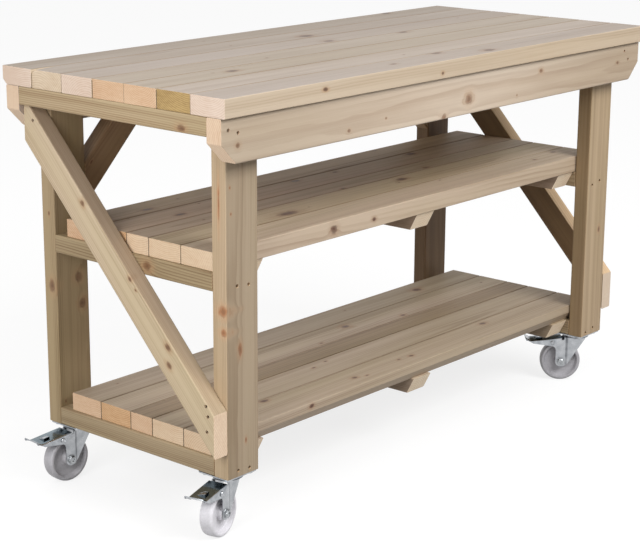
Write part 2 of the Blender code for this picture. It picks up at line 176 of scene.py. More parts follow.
def pine_finish(name, setting, width, look, knots, seed):
    """Solid pine: growth rings round a pith, fibres along them, and each knot a branch from the pith."""
    chance = random.Random(seed)
    pith_across = chance.uniform(-0.05, 0.05)
    pith_through = chance.choice((-1, 1)) * chance.uniform(0.03, 0.08)
    ring_width = chance.uniform(0.0034, 0.0048)
    taper = chance.uniform(-0.012, 0.012)
    warmth = 1 + chance.uniform(-BOARD_TINT, BOARD_TINT)
    coolness = 1 + chance.uniform(-BOARD_TINT, BOARD_TINT)
    tint = (warmth, warmth, coolness, 1)
    early = tuple(share * part for share, part in zip(look["early"], tint))
    late = tuple(share * part for share, part in zip(look["late"], tint))

    material, surface, start = new_finish(name)
    grain = start.coordinates("Object").within(setting)
    along, across, through = (grain.part(number) for number in range(3))

    drift = grain.mottle((1.2, 5.0, 5.0), seed)
    ripple = grain.mottle((8.0, 55.0, 55.0), seed + 3)
    fibre = grain.mottle((8.0, 520.0, 520.0), seed + 5, 3.0)
    streak = grain.mottle((1.5, 70.0, 70.0), seed + 8, 3.0)
    cloud = grain.mottle((1.1, 9.0, 9.0), seed + 11, 3.0)
    blotch = grain.mottle((70.0, 140.0, 140.0), seed + 13, 2.0)

    swell = 0.0
    nearest = None
    for spot, branch_way, size, stretch in knots:
        offset = grain.vector("SUBTRACT", spot)
        squeezed = offset.vector("MULTIPLY", (1 / stretch, 1.0, 1.0))
        beside = squeezed.vector("CROSS_PRODUCT", branch_way).vector("LENGTH", output=1)
        depth = abs(offset.dot(branch_way))
        distance = beside * (depth * KNOT_TAPER + 1) / size + blotch * 1.7 + ripple * 0.9
        swell = (distance * distance * -0.25).maths("EXPONENT") * (0.5 * size) + swell
        nearest = distance if nearest is None else nearest.maths("MINIMUM", distance)

    beside_pith = across - pith_across
    above_pith = through - pith_through
    radius = (beside_pith * beside_pith + above_pith * above_pith) ** 0.5
    radius = radius + along * taper + drift * 0.016 + ripple * 0.0026 - swell
    year = radius / ring_width
    season = year.maths("FRACT")
    latewood = season.rise(0.25, 0.90) * (1 - season.rise(0.92, 1.0))
    years = grain.node("CombineXYZ", {"X": year * 0.33, "Y": along * 0.9})
    band = years.mottle((1.0, 1.0, 1.0), seed + 1, 2.0)

    tone = latewood * (band * 1.2 + look["ring"]) + band * look["band"]
    tone = tone + streak * look["streak"] + fibre * 0.35
    colour = (tone + 0.10).between(early, late)
    colour = (cloud * 2.4 + 0.35).between(colour, look["cast"], "MULTIPLY")
    heart = 0.0
    rim = 0.0
    if nearest is not None:
        halo = 1 - nearest.rise(0.7, 3.0)
        heart = 1 - nearest.rise(0.45, 1.30)
        core = 1 - nearest.rise(0.05, 0.60)
        rim = nearest.rise(0.55, 0.95) * (1 - nearest.rise(1.00, 1.40))
        colour = (halo * (streak + 0.45)).between(colour, look["halo"])
        colour = (heart * 0.85).between(colour, look["knot"])
        colour = (core * 0.45).between(colour, look["bark"])
        colour = (rim * (blotch * 1.8 + 0.22)).between(colour, look["bark"])

    facing = start.coordinates("Normal")
    grain_way, edge_way, _ = setting.to_3x3().col
    # Faces across a timber's width take a colour multiplier of their own: greyer on the braces and battens,
    # and painted light and shade on the front posts and the right brace.
    on_edge = abs(facing.dot(edge_way)).rise(0.5, 0.8)
    colour = on_edge.between(colour, look["edge"], "MULTIPLY")
    # Some timbers are darker towards both ends.
    if "darker_towards_ends" in look:
        toward_ends = abs(along).rise(0.05, 0.70)
        colour = toward_ends.between(colour, look["darker_towards_ends"], "MULTIPLY")
    upward = facing.dot(Z_AXIS)
    colour = (upward.rise(0.6, 0.95) * look["weathering"]).between(colour, look["weather"], "MULTIPLY")
    for side, dirt in zip((-1, 1), look["seams"]):
        beside_joint = (across * side).rise(width / 2 - SEAM_WIDTH, width / 2) * upward.rise(0.2, 0.6)
        colour = (beside_joint * (cloud * 1.2 + dirt)).between(colour, look["dirt"], "MULTIPLY")
    sawn = abs(facing.dot(grain_way)).rise(0.35, 0.65)
    saw_mark = grain.mottle((300.0, 30.0, 260.0), seed + 17, 2.0)
    end_tone = latewood * 0.55 + blotch * 0.5 + saw_mark * 0.7 + cloud * 1.2
    end_colour = (end_tone + 0.20).between(look["end"], look["end_late"])
    colour = (sawn * 0.92).between(colour, end_colour)
    # Painted light: sawn faces that look downward are lightened by a fixed factor, as if lit from below.
    painted_bounce_light = (upward * -1).rise(0.3, 0.5) * sawn
    colour = painted_bounce_light.between(colour, look["painted_bounce_light"], "MULTIPLY")
    colour.feed(surface, "Base Color")

    roughness = fibre * 0.25 + sawn * 0.18 - heart * 0.12 + 0.58
    roughness.feed(surface, "Roughness")
    surface.inputs["Specular IOR Level"].default_value = 0.35
    height = latewood * 0.4 + fibre * 1.4 + streak * 0.6 - rim * 0.5 + sawn * saw_mark
    height.emboss(surface, 0.35, 0.0005)
    return material


def block(length, width, height):
    """A square block about the origin."""
    shape = bmesh.new()
    bmesh.ops.create_cube(shape, size=1.0)
    bmesh.ops.scale(shape, vec=(length, width, height), verts=shape.verts)
    return shape


def move(shape, setting):
    bmesh.ops.transform(shape, matrix=setting, verts=shape.verts)


def add_rod(shape, sides, radius, length, setting, tip_radius=None):
    """Adds a rod along Z about the origin of a setting, straight unless its tip has a radius of its own."""
    bmesh.ops.create_cone(
        shape, cap_ends=True, segments=sides, radius1=radius,
        radius2=radius if tip_radius is None else tip_radius, depth=length, matrix=setting,
    )


def round_off(shape, crisp, size, steps, affect="EDGES"):
    """Rounds some edges or corners of a shape."""
    bmesh.ops.bevel(
        shape, geom=crisp, offset=size, offset_type="OFFSET", affect=affect,
        segments=steps, profile=0.5, material=-1,
    )


def planed_stick(length, width, thickness, arris):
    """A planed stick along X about the origin, its long edges rounded by the planer."""
    stick = block(length, width, thickness)
    long_edges = [e for e in stick.edges if abs(e.verts[0].co.x - e.verts[1].co.x) > length / 2]
    round_off(stick, long_edges, arris, ARRIS_STEPS)
    return stick


def saw_off(stick, point, outward):
    """Saws off what lies beyond a plane and closes the sawn face."""
    whole = stick.verts[:] + stick.edges[:] + stick.faces[:]
    kerf = bmesh.ops.bisect_plane(stick, geom=whole, plane_co=point, plane_no=outward, clear_outer=True)
    rim = [part for part in kerf["geom_cut"] if isinstance(part, bmesh.types.BMEdge)]
    if rim:
        bmesh.ops.edgeloop_fill(stick, edges=rim)


def ease_edges(shape, size):
    """Takes the sharpness off every crisp edge."""
    crisp = [e for e in shape.edges if e.is_manifold and e.calc_face_angle() > SHARP_ANGLE]
    round_off(shape, crisp, size, 2)


def new_piece(name, shape):
    """Puts a finished bmesh into the scene as an object at the origin."""
    mesh = bpy.data.meshes.new(name)
    shape.to_mesh(mesh)
    shape.free()
    piece = bpy.data.objects.new(name, mesh)
    bpy.context.scene.collection.objects.link(piece)
    return piece


def cut_with(piece, cutter, operation):
    """Cuts a piece by another closed shape, for good, and takes the cutter away."""
    bpy.context.view_layer.update()
    modifier = piece.modifiers.new("cut", "BOOLEAN")
    modifier.operation = operation
    modifier.solver = "EXACT"
    modifier.object = cutter
    graph = bpy.context.evaluated_depsgraph_get()
    cut = bpy.data.meshes.new_from_object(piece.evaluated_get(graph))
    piece.modifiers.clear()
    piece.data = cut
    bpy.data.objects.remove(cutter)


sunk_screws = []


def place_timber(node, slot, look, seed, setting, size, knots=(), cuts=(), screws=(), arris=ARRIS):
    """Makes one timber in the place of its solid: stick, saw cuts, screw holes and its own piece of pine."""
    stick = planed_stick(*size, arris)
    move(stick, setting)
    for point, outward in cuts:
        saw_off(stick, point, outward)
    ease_edges(stick, SAWN_EDGE)
    bmesh.ops.recalc_face_normals(stick, faces=stick.faces)
    piece = new_piece("planed_" + node, stick)
    if screws:
        bits = bmesh.new()
        for spot, inward in screws:
            aim = shift(spot) @ inward.to_track_quat("Z", "Y").to_matrix().to_4x4()
            add_rod(bits, 20, SCREW_HOLE_RADIUS, 2 * SCREW_HOLE_DEPTH, aim)
            sunk_screws.append((spot, inward))
        cut_with(piece, new_piece("drill_bits", bits), "DIFFERENCE")

    chance = random.Random(seed + KNOT_SEED_SHIFT)
    into_grain = setting.inverted()
    branches = []
    for spot, radius, stretch in knots:
        inside = into_grain @ Vector(spot)
        on_edge = abs(inside.y) > size[1] / 2 - EDGE_KNOT_REACH
        branches.append((inside, Y_AXIS if on_edge else Z_AXIS, radius, stretch))
    for _ in range(look["chance_knots"]):
        inside = Vector((chance.uniform(-0.46, 0.46) * size[0], chance.uniform(-0.42, 0.42) * size[1], 0))
        slant = Vector((0.3, chance.uniform(-0.3, 0.3), 1)).normalized()
        branches.append((inside, slant, chance.uniform(0.002, 0.0045), chance.uniform(1.4, 2.4)))
    piece.data.materials.clear()
    piece.data.materials.append(pine_finish("pine_" + node, setting, size[1], look, branches, seed))
    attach(piece, "bench")
    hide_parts(node)


def box_of(node):
    """The low and the high corner of a solid's box."""
    return (Vector(corner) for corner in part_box(node))


def grain_setting(middle, along, across):
    """A timber's own frame: X along its grain, Y across its width, Z through its thickness."""
    axes = Matrix((along, across, along.cross(across))).transposed()
    return shift(middle) @ axes.to_4x4()


def knots_on(low, high, marks):
    """Knots on the faces of a box. A mark is two places along its face, a radius and a stretch."""
    faces = {"left": (0, low.x), "front": (1, low.y), "back": (1, high.y), "top": (2, high.z)}
    knots = []
    for face, face_marks in marks.items():
        axis, level = faces[face]
        for first, second, radius, stretch in face_marks:
            spot = [first, second]
            spot.insert(axis, level)
            knots.append((spot, radius, stretch))
    return knots


def lay_timber(node, slot, look, seed, along, across, marks, shorten=0.0, narrow=0.0, **details):
    """Makes a square-cut timber in the box of its solid, or a little shorter or narrower than the box."""
    low, high = box_of(node)
    setting = grain_setting((low + high) / 2, along, across)
    size = [abs((high - low).dot(axis)) for axis in setting.to_3x3().col]
    size[0] -= shorten
    size[1] -= narrow
    place_timber(node, slot, look, seed, setting, size, knots_on(low, high, marks), **details)


def grain_tones(early, late):
    """The colours of a timber's sides: the wood of spring and of autumn."""
    return {"early": paint(*early), "late": paint(*late)}


def end_tones(early, late):
    """The same two colours where the timber is sawn across."""
    return {"end": paint(*early), "end_late": paint(*late)}


POST_LOOK = {
    **grain_tones((172, 153, 127), (132, 111, 85)), "cast": paint(240, 242, 228),
    "knot": paint(118, 84, 58), "halo": paint(176, 138, 102), "bark": paint(84, 60, 44),
    # The factor for sawn faces that look downward, on the next line, is painted light.
    **end_tones((214, 184, 146), (168, 132, 94)), "painted_bounce_light": (1.22, 1.25, 1.28, 1.0),
    "weather": paint(222, 224, 238), "weathering": 0.0, "edge": (1.0, 1.0, 1.0, 1.0),
    "dirt": paint(192, 184, 176), "seams": (-1.0, -1.0),
    "ring": 0.26, "band": 0.65, "streak": 0.65, "chance_knots": 1,
}
POST_COLOURS = {
    # The front left post has darker wide faces and much lighter sides, partly its own board and partly
    # painted light and shade.
    "post_front_left": {
        **grain_tones((163, 145, 122), (124, 104, 80)), "edge": (1.46, 1.41, 1.36, 1.0),
        "knot": paint(138, 94, 62), "bark": paint(100, 68, 46), "halo": paint(170, 134, 102),
    },
    # The front right post is a lighter, yellower board; its sides are darkened as painted shade from inside
    # the bench.
    "post_front_right": {
        **grain_tones((180, 157, 128), (136, 112, 84)), "edge": (0.70, 0.65, 0.57, 1.0),
        "streak": 1.1, "chance_knots": 0,
    },
    "post_back_left": grain_tones((175, 152, 122), (126, 101, 73)),
    # The back right post's dark tones are painted shade, from the shelves and tabletop above it.
    "post_back_right": grain_tones((120, 94, 68), (88, 66, 46)),
}
POST_KNOTS = {
    "post_front_left": {
        "left": ((-0.255, 0.470, 0.010, 1.0), (-0.257, 0.427, 0.007, 1.0), (-0.246, 0.680, 0.0022, 14.0)),
        "front": ((-0.643, 0.388, 0.005, 2.2), (-0.668, 0.712, 0.0018, 1.5), (-0.666, 0.661, 0.0018, 1.5)),
    },
    "post_front_right": {"front": ((0.649, 0.394, 0.004, 1.6),)},
    "post_back_left": {
        "left": ((0.241, 0.430, 0.009, 1.4), (0.243, 0.586, 0.003, 1.6)),
        "front": ((-0.620, 0.440, 0.009, 1.2), (-0.610, 0.380, 0.008, 1.2)),
    },
    "post_back_right": {},
}
BEARER_SCREWS = {
    "left": ((-0.650, 0.002), (-0.618, -0.001)),
    "right": ((0.610, -0.003), (0.643, 0.003)),
}
BEARER_SCREW_HEIGHTS = (0.515, 0.138)
POST_SEED = 21

for number, (row, side) in enumerate(product(("front", "back"), ("left", "right"))):
    node = f"post_{row}_{side}"
    low, high = box_of(node)
    outer_face = low.y if row == "front" else high.y
    inward = Y_AXIS if row == "front" else -Y_AXIS
    holes = []
    for (x, lift), height in product(BEARER_SCREWS[side], BEARER_SCREW_HEIGHTS):
        holes.append((Vector((x, outer_face, height + lift)), inward))
    lay_timber(
        node, "post_timber", dict(POST_LOOK, **POST_COLOURS[node]), POST_SEED + number, Z_AXIS, X_AXIS,
        POST_KNOTS[node], screws=holes,
    )


# Shelf bearers
# Flat cross pieces between the posts of each end, one pair for each shelf, of the same planed studding.
# They are held by the screws through the posts and carry the ends of the shelf boards.

BEARER_LOOK = dict(
    POST_LOOK, **grain_tones((166, 146, 118), (116, 92, 66)), ring=0.5, streak=0.9, chance_knots=2,
)
BEARER_KNOTS = {"mid_bearer_left": {"left": ((-0.048, 0.524, 0.008, 1.3),)}}
BEARER_SEED = 31

for number, (shelf, side) in enumerate(product(("mid", "bottom"), ("left", "right"))):
    node = f"{shelf}_bearer_{side}"
    lay_timber(
        node, "shelf_timber", BEARER_LOOK, BEARER_SEED + number, Y_AXIS, -X_AXIS,
        BEARER_KNOTS.get(node, {}),
    )


# Top frame
# Two long rails on edge, their lower corners clipped at 45 degrees, and three flat cross pieces between
# them: one on the posts at each end and one at mid length. Screwed through the rails near their ends.

RAIL_CLIP = 0.040
RAIL_LOOK = dict(
    POST_LOOK, **grain_tones((206, 191, 178), (175, 155, 140)), cast=paint(246, 240, 232),
    **end_tones((226, 200, 172), (204, 168, 138)), ring=0.22, band=0.7, streak=0.8, chance_knots=0,
    knot=paint(138, 104, 78), bark=paint(96, 70, 54), halo=paint(190, 160, 132),
    # Each rail is darker towards both ends.
    darker_towards_ends=(0.75, 0.72, 0.67, 1.0),
)
RAIL_KNOTS = {
    "rail_front": {"front": (
        (0.035, 0.799, 0.010, 1.1), (-0.053, 0.771, 0.007, 1.2), (-0.249, 0.794, 0.0024, 1.3),
        (-0.366, 0.784, 0.0034, 1.3), (0.309, 0.829, 0.0045, 1.5), (0.216, 0.785, 0.0025, 1.0),
        (-0.686, 0.800, 0.005, 1.0), (0.636, 0.812, 0.003, 1.5),
    )},
    "rail_back": {"back": ((0.210, 0.800, 0.006, 1.4), (-0.330, 0.822, 0.004, 1.6))},
}
RAIL_SCREWS = ((-0.711, 0.832), (-0.685, 0.824), (0.666, 0.837), (0.684, 0.816))
RAIL_SEED = 41

for number, row in enumerate(("front", "back")):
    node = f"rail_{row}"
    low, high = box_of(node)
    outer_face = low.y if row == "front" else high.y
    inward = Y_AXIS if row == "front" else -Y_AXIS
    clips = []
    for end, way in ((low.x, -1), (high.x, 1)):
        clips.append(((end, 0, low.z + RAIL_CLIP), (way, 0, -1)))
    lay_timber(
        node, "rail_timber", RAIL_LOOK, RAIL_SEED + number, X_AXIS, Z_AXIS, RAIL_KNOTS[node], cuts=clips,
        screws=[(Vector((x, outer_face, z)), inward) for x, z in RAIL_SCREWS],
    )

END_RAIL_LOOK = dict(
    POST_LOOK, **grain_tones((187, 166, 138), (141, 113, 84)), ring=0.42, streak=0.9, chance_knots=4,
)
END_RAIL_KNOTS = {"end_rail_left": {"left": ((-0.200, 0.826, 0.006, 1.6),)}}
END_RAIL_SEED = 46

for number, node in enumerate(("end_rail_left", "end_rail_right", "top_bearer")):
    lay_timber(
        node, "rail_timber", END_RAIL_LOOK, END_RAIL_SEED + number, Y_AXIS, -X_AXIS,
        END_RAIL_KNOTS.get(node, {}),
    )


# Knee braces
# Two short narrow timbers at 45 degrees in the back corners, butted to the posts and lying on the back
# rail. They keep the bench from swaying along its length.

KNEE_LOOK = dict(POST_LOOK, **grain_tones((162, 133, 102), (120, 90, 64)), chance_knots=3)
KNEE_WIDTH = 0.063
KNEE_SPARE = 0.20
KNEE_SEED = 51

for number, (side, way) in enumerate((("left", 1), ("right", -1))):
    node = f"knee_brace_{side}"
    low, high = box_of(node)
    post_face = low.x if side == "left" else high.x
    along = Vector((way, 0, 1)).normalized()
    across = Vector((-way, 0, 1)).normalized()
    foot = Vector((post_face, (low.y + high.y) / 2, low.z))
    reach = (high.z - low.z) * math.sqrt(2)
    middle = foot + along * (reach - KNEE_SPARE) / 2 + across * KNEE_WIDTH / 2
    size = (reach + KNEE_SPARE, KNEE_WIDTH, high.y - low.y)
    cuts = (((post_face, 0, 0), (-way, 0, 0)), ((0, 0, high.z), (0, 0, 1)))
    setting = grain_setting(middle, along, across)
    place_timber(node, "brace_timber", KNEE_LOOK, KNEE_SEED + number, setting, size, cuts=cuts)


# End braces
# A narrow timber runs up across the outside of each end, from the foot of the front post to the head of
# the back one. Its ends are cut plumb with the posts and its top corner level.

BRACE_WIDTH = 0.063
BRACE_HEAD = 0.7403
BRACE_SPARE = 0.252
BRACE_LOOK = dict(
    POST_LOOK, **grain_tones((202, 182, 160), (162, 138, 112)), edge=(0.74, 0.70, 0.72, 1.0),
    **end_tones((238, 216, 190), (214, 184, 156)), ring=0.3, band=0.8, streak=0.9, chance_knots=2,
)
# Painted shade: the right brace's wide faces are darkened as in shade, and the large side multiplier brings
# its narrow faces back to the lit colour.
SHADED_BRACE_LOOK = dict(
    BRACE_LOOK, **grain_tones((128, 102, 75), (100, 75, 52)), edge=(3.3, 3.8, 4.9, 1.0),
    **end_tones((222, 206, 188), (208, 184, 160)),
)
BRACE_KNOTS = {"left": (
    (0.095, 0.636, 0.005, 1.4), (-0.038, 0.503, 0.004, 1.4), (-0.142, 0.384, 0.005, 1.6),
    (-0.145, 0.348, 0.005, 1.6),
)}
BRACE_SCREWS = ((-0.244, 0.286), (-0.249, 0.266), (-0.246, 0.234), (0.238, 0.786))
BRACE_SEED = 56

for number, (side, way) in enumerate((("left", -1), ("right", 1))):
    node = f"end_brace_{side}"
    low, high = box_of(node)
    rise = Vector((0, high.y - low.y, BRACE_HEAD - low.z))
    along = rise.normalized()
    across = X_AXIS.cross(along)
    middle_x = (low.x + high.x) / 2
    middle = Vector((middle_x, low.y, low.z)) + rise / 2 + across * BRACE_WIDTH / 2
    outer_face = low.x if side == "left" else high.x
    cuts = (
        ((0, low.y, 0), (0, -1, 0)),
        ((0, high.y, 0), (0, 1, 0)),
        ((0, 0, high.z), (0, 0, 1)),
    )
    size = (rise.length + BRACE_SPARE, BRACE_WIDTH, high.x - low.x)
    place_timber(
        node, "brace_timber", BRACE_LOOK if side == "left" else SHADED_BRACE_LOOK, BRACE_SEED + number,
        grain_setting(middle, along, across), size, cuts=cuts,
        knots=knots_on(low, high, BRACE_KNOTS if side == "left" else {}),
        screws=[(Vector((outer_face, y, z)), -way * X_AXIS) for y, z in BRACE_SCREWS],
    )


# Shelves
# Each shelf is five planed boards side by side on the bearers, the third one narrower than the others.
# Three battens with sloping ends are screwed to the undersides and keep the boards level.

SHELF_LOOK = dict(
    POST_LOOK, **grain_tones((196, 176, 152), (152, 128, 104)), ring=0.3, band=0.9, streak=1.0,
    knot=paint(84, 46, 28), bark=paint(44, 26, 18), halo=paint(150, 112, 84), chance_knots=2,
)
END_PEACH = end_tones((222, 190, 158), (198, 156, 120))
END_ORANGE = end_tones((216, 178, 136), (184, 136, 92))
END_PINK = end_tones((226, 206, 190), (204, 176, 154))
END_CREAM = end_tones((226, 202, 172), (202, 168, 134))
SHELF_ENDS = {
    "mid": (END_CREAM, END_CREAM, END_CREAM, END_ORANGE, END_PEACH),
    "bottom": (END_CREAM, END_CREAM, END_PEACH, END_ORANGE, END_PEACH),
}
SHELF_BOARDS = 5
NARROW_BOARD = 3
SHELF_DIRT = 0.9
LOW_SHELF_LOOK = grain_tones((174, 156, 136), (134, 113, 93))
NARROW_BOARD_LOOK = {
    "mid": grain_tones((184, 163, 138), (142, 118, 95)),
    "bottom": grain_tones((148, 128, 108), (114, 94, 76)),
}
# Painted shade: the two back boards of the middle shelf are darker, for the shade under the tabletop.
BACK_BOARD_PAINTED_SHADE = grain_tones((186, 162, 136), (143, 117, 92))
SHELF_KNOTS = {
    "mid_board_1": {
        "top": ((0.599, -0.154, 0.005, 1.6), (0.489, -0.174, 0.004, 1.6)),
        "front": ((-0.317, 0.562, 0.009, 1.0), (-0.186, 0.560, 0.004, 1.3)),
    },
    "mid_board_2": {"top": ((0.097, -0.076, 0.009, 1.5), (-0.334, -0.112, 0.012, 2.2))},
    "mid_board_3": {"top": ((-0.069, -0.040, 0.004, 1.6), (0.238, -0.036, 0.005, 1.8))},
    "mid_board_4": {"top": (
        (-0.082, 0.090, 0.007, 1.7), (0.344, 0.090, 0.009, 1.5), (0.054, 0.088, 0.004, 1.8),
        (-0.489, 0.048, 0.006, 2.0),
    )},
    "mid_board_5": {"top": ((-0.504, 0.132, 0.006, 2.0),)},
    "bottom_board_1": {
        "top": (
            (0.319, -0.156, 0.006, 1.7), (-0.200, -0.188, 0.005, 1.5), (0.005, -0.184, 0.004, 1.5),
            (-0.444, -0.145, 0.005, 1.8),
        ),
        "front": ((-0.385, 0.195, 0.004, 1.6),),
    },
    "bottom_board_4": {"top": ((0.080, 0.072, 0.008, 1.6), (0.247, 0.030, 0.005, 1.6))},
    "bottom_board_5": {"top": ((0.451, 0.145, 0.009, 1.6),)},
}
WANE = {"bottom_board_1": (((0, -0.2257, 0.1846), (0, -0.857, -0.514)),)}
BATTEN_SLOPE = 0.020
BATTEN_END = end_tones((232, 214, 188), (214, 186, 156))
SHELF_JOINT = 0.0013
BOARD_ARRIS = 0.0018
SHELF_SEEDS = {"mid": 61, "bottom": 71}
BATTEN_SEED_SHIFT = 6


def dirt_beside(number, count, dirt):
    """How dirty a board is along its two edges: only where another board lies beside it."""
    clean = -1.0
    return (clean if number == 1 else dirt, clean if number == count else dirt)


for shelf, seed in SHELF_SEEDS.items():
    for number in range(1, SHELF_BOARDS + 1):
        node = f"{shelf}_board_{number}"
        seams = dirt_beside(number, SHELF_BOARDS, SHELF_DIRT)
        look = dict(SHELF_LOOK, seams=seams, **SHELF_ENDS[shelf][number - 1])
        if shelf == "bottom":
            look.update(LOW_SHELF_LOOK)
        elif number > NARROW_BOARD:
            look.update(BACK_BOARD_PAINTED_SHADE)
        if number == NARROW_BOARD:
            look.update(NARROW_BOARD_LOOK[shelf])
        lay_timber(
            node, "shelf_timber", look, seed + number, X_AXIS, Y_AXIS, SHELF_KNOTS.get(node, {}),
            cuts=WANE.get(node, ()), narrow=SHELF_JOINT, arris=BOARD_ARRIS,
        )
    for number, place in enumerate(("left", "centre", "right")):
        node = f"{shelf}_batten_{place}"
        low, high = box_of(node)
        fall = high.z - low.z
        slopes = (
            ((0, low.y, high.z), (0, -fall, -BATTEN_SLOPE)),
            ((0, high.y, high.z), (0, fall, -BATTEN_SLOPE)),
        )
        lay_timber(
            node, "shelf_timber", dict(BRACE_LOOK, **BATTEN_END), seed + BATTEN_SEED_SHIFT + number,
            Y_AXIS, -X_AXIS, {}, cuts=slopes,
        )


# Tabletop
# Seven planed boards edge to edge along the bench, screwed up from the frame below, so the top is clear.
# Weather has greyed the upper face; the sawn ends keep the pink and orange of fresh pine.

TOP_LOOK = dict(
    POST_LOOK, **grain_tones((202, 184, 160), (169, 147, 121)), cast=paint(246, 242, 234),
    weather=paint(211, 215, 230), weathering=1.0, ring=0.2, band=0.6, streak=0.8,
    knot=paint(98, 70, 50), bark=paint(68, 50, 38),
)
END_OLIVE = end_tones((190, 160, 104), (132, 100, 54))
END_BUFF = end_tones((226, 208, 184), (192, 166, 136))
TOP_ENDS = (END_PINK, END_OLIVE, END_PEACH, END_PEACH, END_PINK, END_BUFF, END_PINK)
TOP_KNOTS = (
    {
        "top": ((0.009, -0.231, 0.008, 1.8), (0.127, -0.287, 0.008, 1.8), (-0.179, -0.264, 0.005, 1.6)),
        "front": ((-0.449, 0.878, 0.0034, 1.8), (-0.073, 0.867, 0.003, 1.3)),
    },
    {},
    {"top": ((-0.473, -0.087, 0.008, 1.6),)},
    {"top": ((0.238, 0.038, 0.008, 1.7),)},
    {"top": ((0.001, 0.063, 0.008, 1.7),)},
    {"top": ((0.030, 0.158, 0.011, 1.7),)},
    {"top": ((0.500, 0.300, 0.007, 1.7),)},
)
TOP_BOARDS = 7
TOP_DIRT = 0.8
TOP_LIGHTNESS = (1.06, 1.13, 1.02, 1.00, 0.98, 0.96, 0.90)
TOP_JOINT = 0.0012
TOP_STAGGER = (0.0, 0.002, 0.001, 0.003, 0.001, 0.002, 0.0)
TOP_WANE = {
    6: (((-0.730, 0.2235, 0.884), (-0.10, 0.55, 0.83)),),
    7: (((-0.730, 0.313, 0.866), (-0.08, 0.70, -0.70)),),
}
TOP_SEED = 80

for number in range(1, TOP_BOARDS + 1):
    greyed = tuple(share * TOP_LIGHTNESS[number - 1] for share in TOP_LOOK["weather"])
    seams = dirt_beside(number, TOP_BOARDS, TOP_DIRT)
    look = dict(TOP_LOOK, weather=greyed, seams=seams, **TOP_ENDS[number - 1])
    lay_timber(
        f"top_board_{number}", "tabletop_timber", look, TOP_SEED + number, X_AXIS, Y_AXIS,
        TOP_KNOTS[number - 1], cuts=TOP_WANE.get(number, ()), shorten=TOP_STAGGER[number - 1],
        narrow=TOP_JOINT, arris=BOARD_ARRIS,
    )


# Wood screws
# Countersunk steel screws with a dark coating and a cross recess, driven below the face of the timber.
# Only their heads show, at the bottom of the holes, nearly black: partly their coating, partly painted
# shade.

SCREW_HEAD_RADIUS = 0.0034
SCREW_HEAD_DEPTH = 0.0034
SCREW_NECK_RADIUS = 0.00153
SCREW_HEAD_SINK = 0.0048
RECESS_LENGTH = 0.0042
RECESS_WIDTH = 0.0009
RECESS_DEPTH = 0.0016
RECESS_TURN = 9

heads = bmesh.new()
driver_slots = (bmesh.new(), bmesh.new())
for spot, inward in sunk_screws:
    sunk = shift(spot + inward * SCREW_HEAD_SINK)
    aim = sunk @ inward.to_track_quat("Z", "Y").to_matrix().to_4x4()
    below = shift((0, 0, SCREW_HEAD_DEPTH / 2))
    add_rod(heads, 24, SCREW_HEAD_RADIUS, SCREW_HEAD_DEPTH, aim @ below, SCREW_NECK_RADIUS)
    for slot_turn, slots in zip((0, math.pi / 2), driver_slots):
        across_head = turn(slot_turn + RECESS_TURN * spot.x, "Z")
        slot_size = Matrix.Diagonal((RECESS_LENGTH, RECESS_WIDTH, 2 * RECESS_DEPTH, 1))
        bmesh.ops.create_cube(slots, size=1.0, matrix=aim @ across_head @ slot_size)
screws = new_piece("wood_screws", heads)
for slots in driver_slots:
    cut_with(screws, new_piece("driver_slots", slots), "DIFFERENCE")

# The head colour is partly the screws' dark coating and partly painted shade of the holes they sit in.
coat_and_hole_shade, screw_surface, start = new_finish("dark_coating_and_hole_shade")
wear = start.coordinates("Object").mottle((900.0, 900.0, 900.0), 2.0, 2.0)
(wear * 2.0 + 0.4).between(paint(44, 34, 27), paint(70, 58, 46)).feed(screw_surface, "Base Color")
(wear * 0.4 + 0.45).feed(screw_surface, "Roughness")
screw_surface.inputs["Metallic"].default_value = 0.7
screws.data.materials.clear()
screws.data.materials.append(coat_and_hole_shade)
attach(screws, "bench")


# Caster plates
# A nearly square zinc-plated plate under each corner, with the upper race pressed into it and the kingpin
# riveted through. Four coach screws with washers hold it up against the post and bearer.

CORNERS = ("front_left", "front_right", "back_left", "back_right")
PLATE_LENGTH = 0.088
PLATE_WIDTH = 0.084
PLATE_THICKNESS = 0.003
PLATE_BOTTOM = 0.123
PLATE_CORNER = 0.008
COACH_SCREW_INSET = 0.012
COACH_HEAD_RADIUS = 0.0062
COACH_HEAD_HEIGHT = 0.0042
COACH_HEAD_SEAT = 0.0009
COACH_TURN_X = 31
COACH_TURN_Y = 17
HEX_CHAMFER = 0.12
WASHER_PROFILE = (
    (0.0040, -0.0002), (0.0040, 0.0010), (0.00741, 0.0010), (0.0078, 0.0006), (0.0078, -0.0002),
)
RACE_PROFILE = (
    (0.0310, 0.1231), (0.0275, 0.1229), (0.0258, 0.1222), (0.0250, 0.1208), (0.0240, 0.1203),
    (0.0064, 0.1203),
)
KINGPIN_PROFILE = (
    (0.0060, 0.1205), (0.0060, 0.1106), (0.0098, 0.1106), (0.0100, 0.1100), (0.0092, 0.1085),
    (0.0070, 0.1077), (0.0, 0.1074),
)
CORNER_STEPS = 6
SHEARED_EDGE = 0.0005
WELD = 1e-6
BAND_FADE = 0.003
BAND_EDGE = 0.0005
ZINC = (paint(188, 190, 193), paint(154, 157, 161), 0.32)


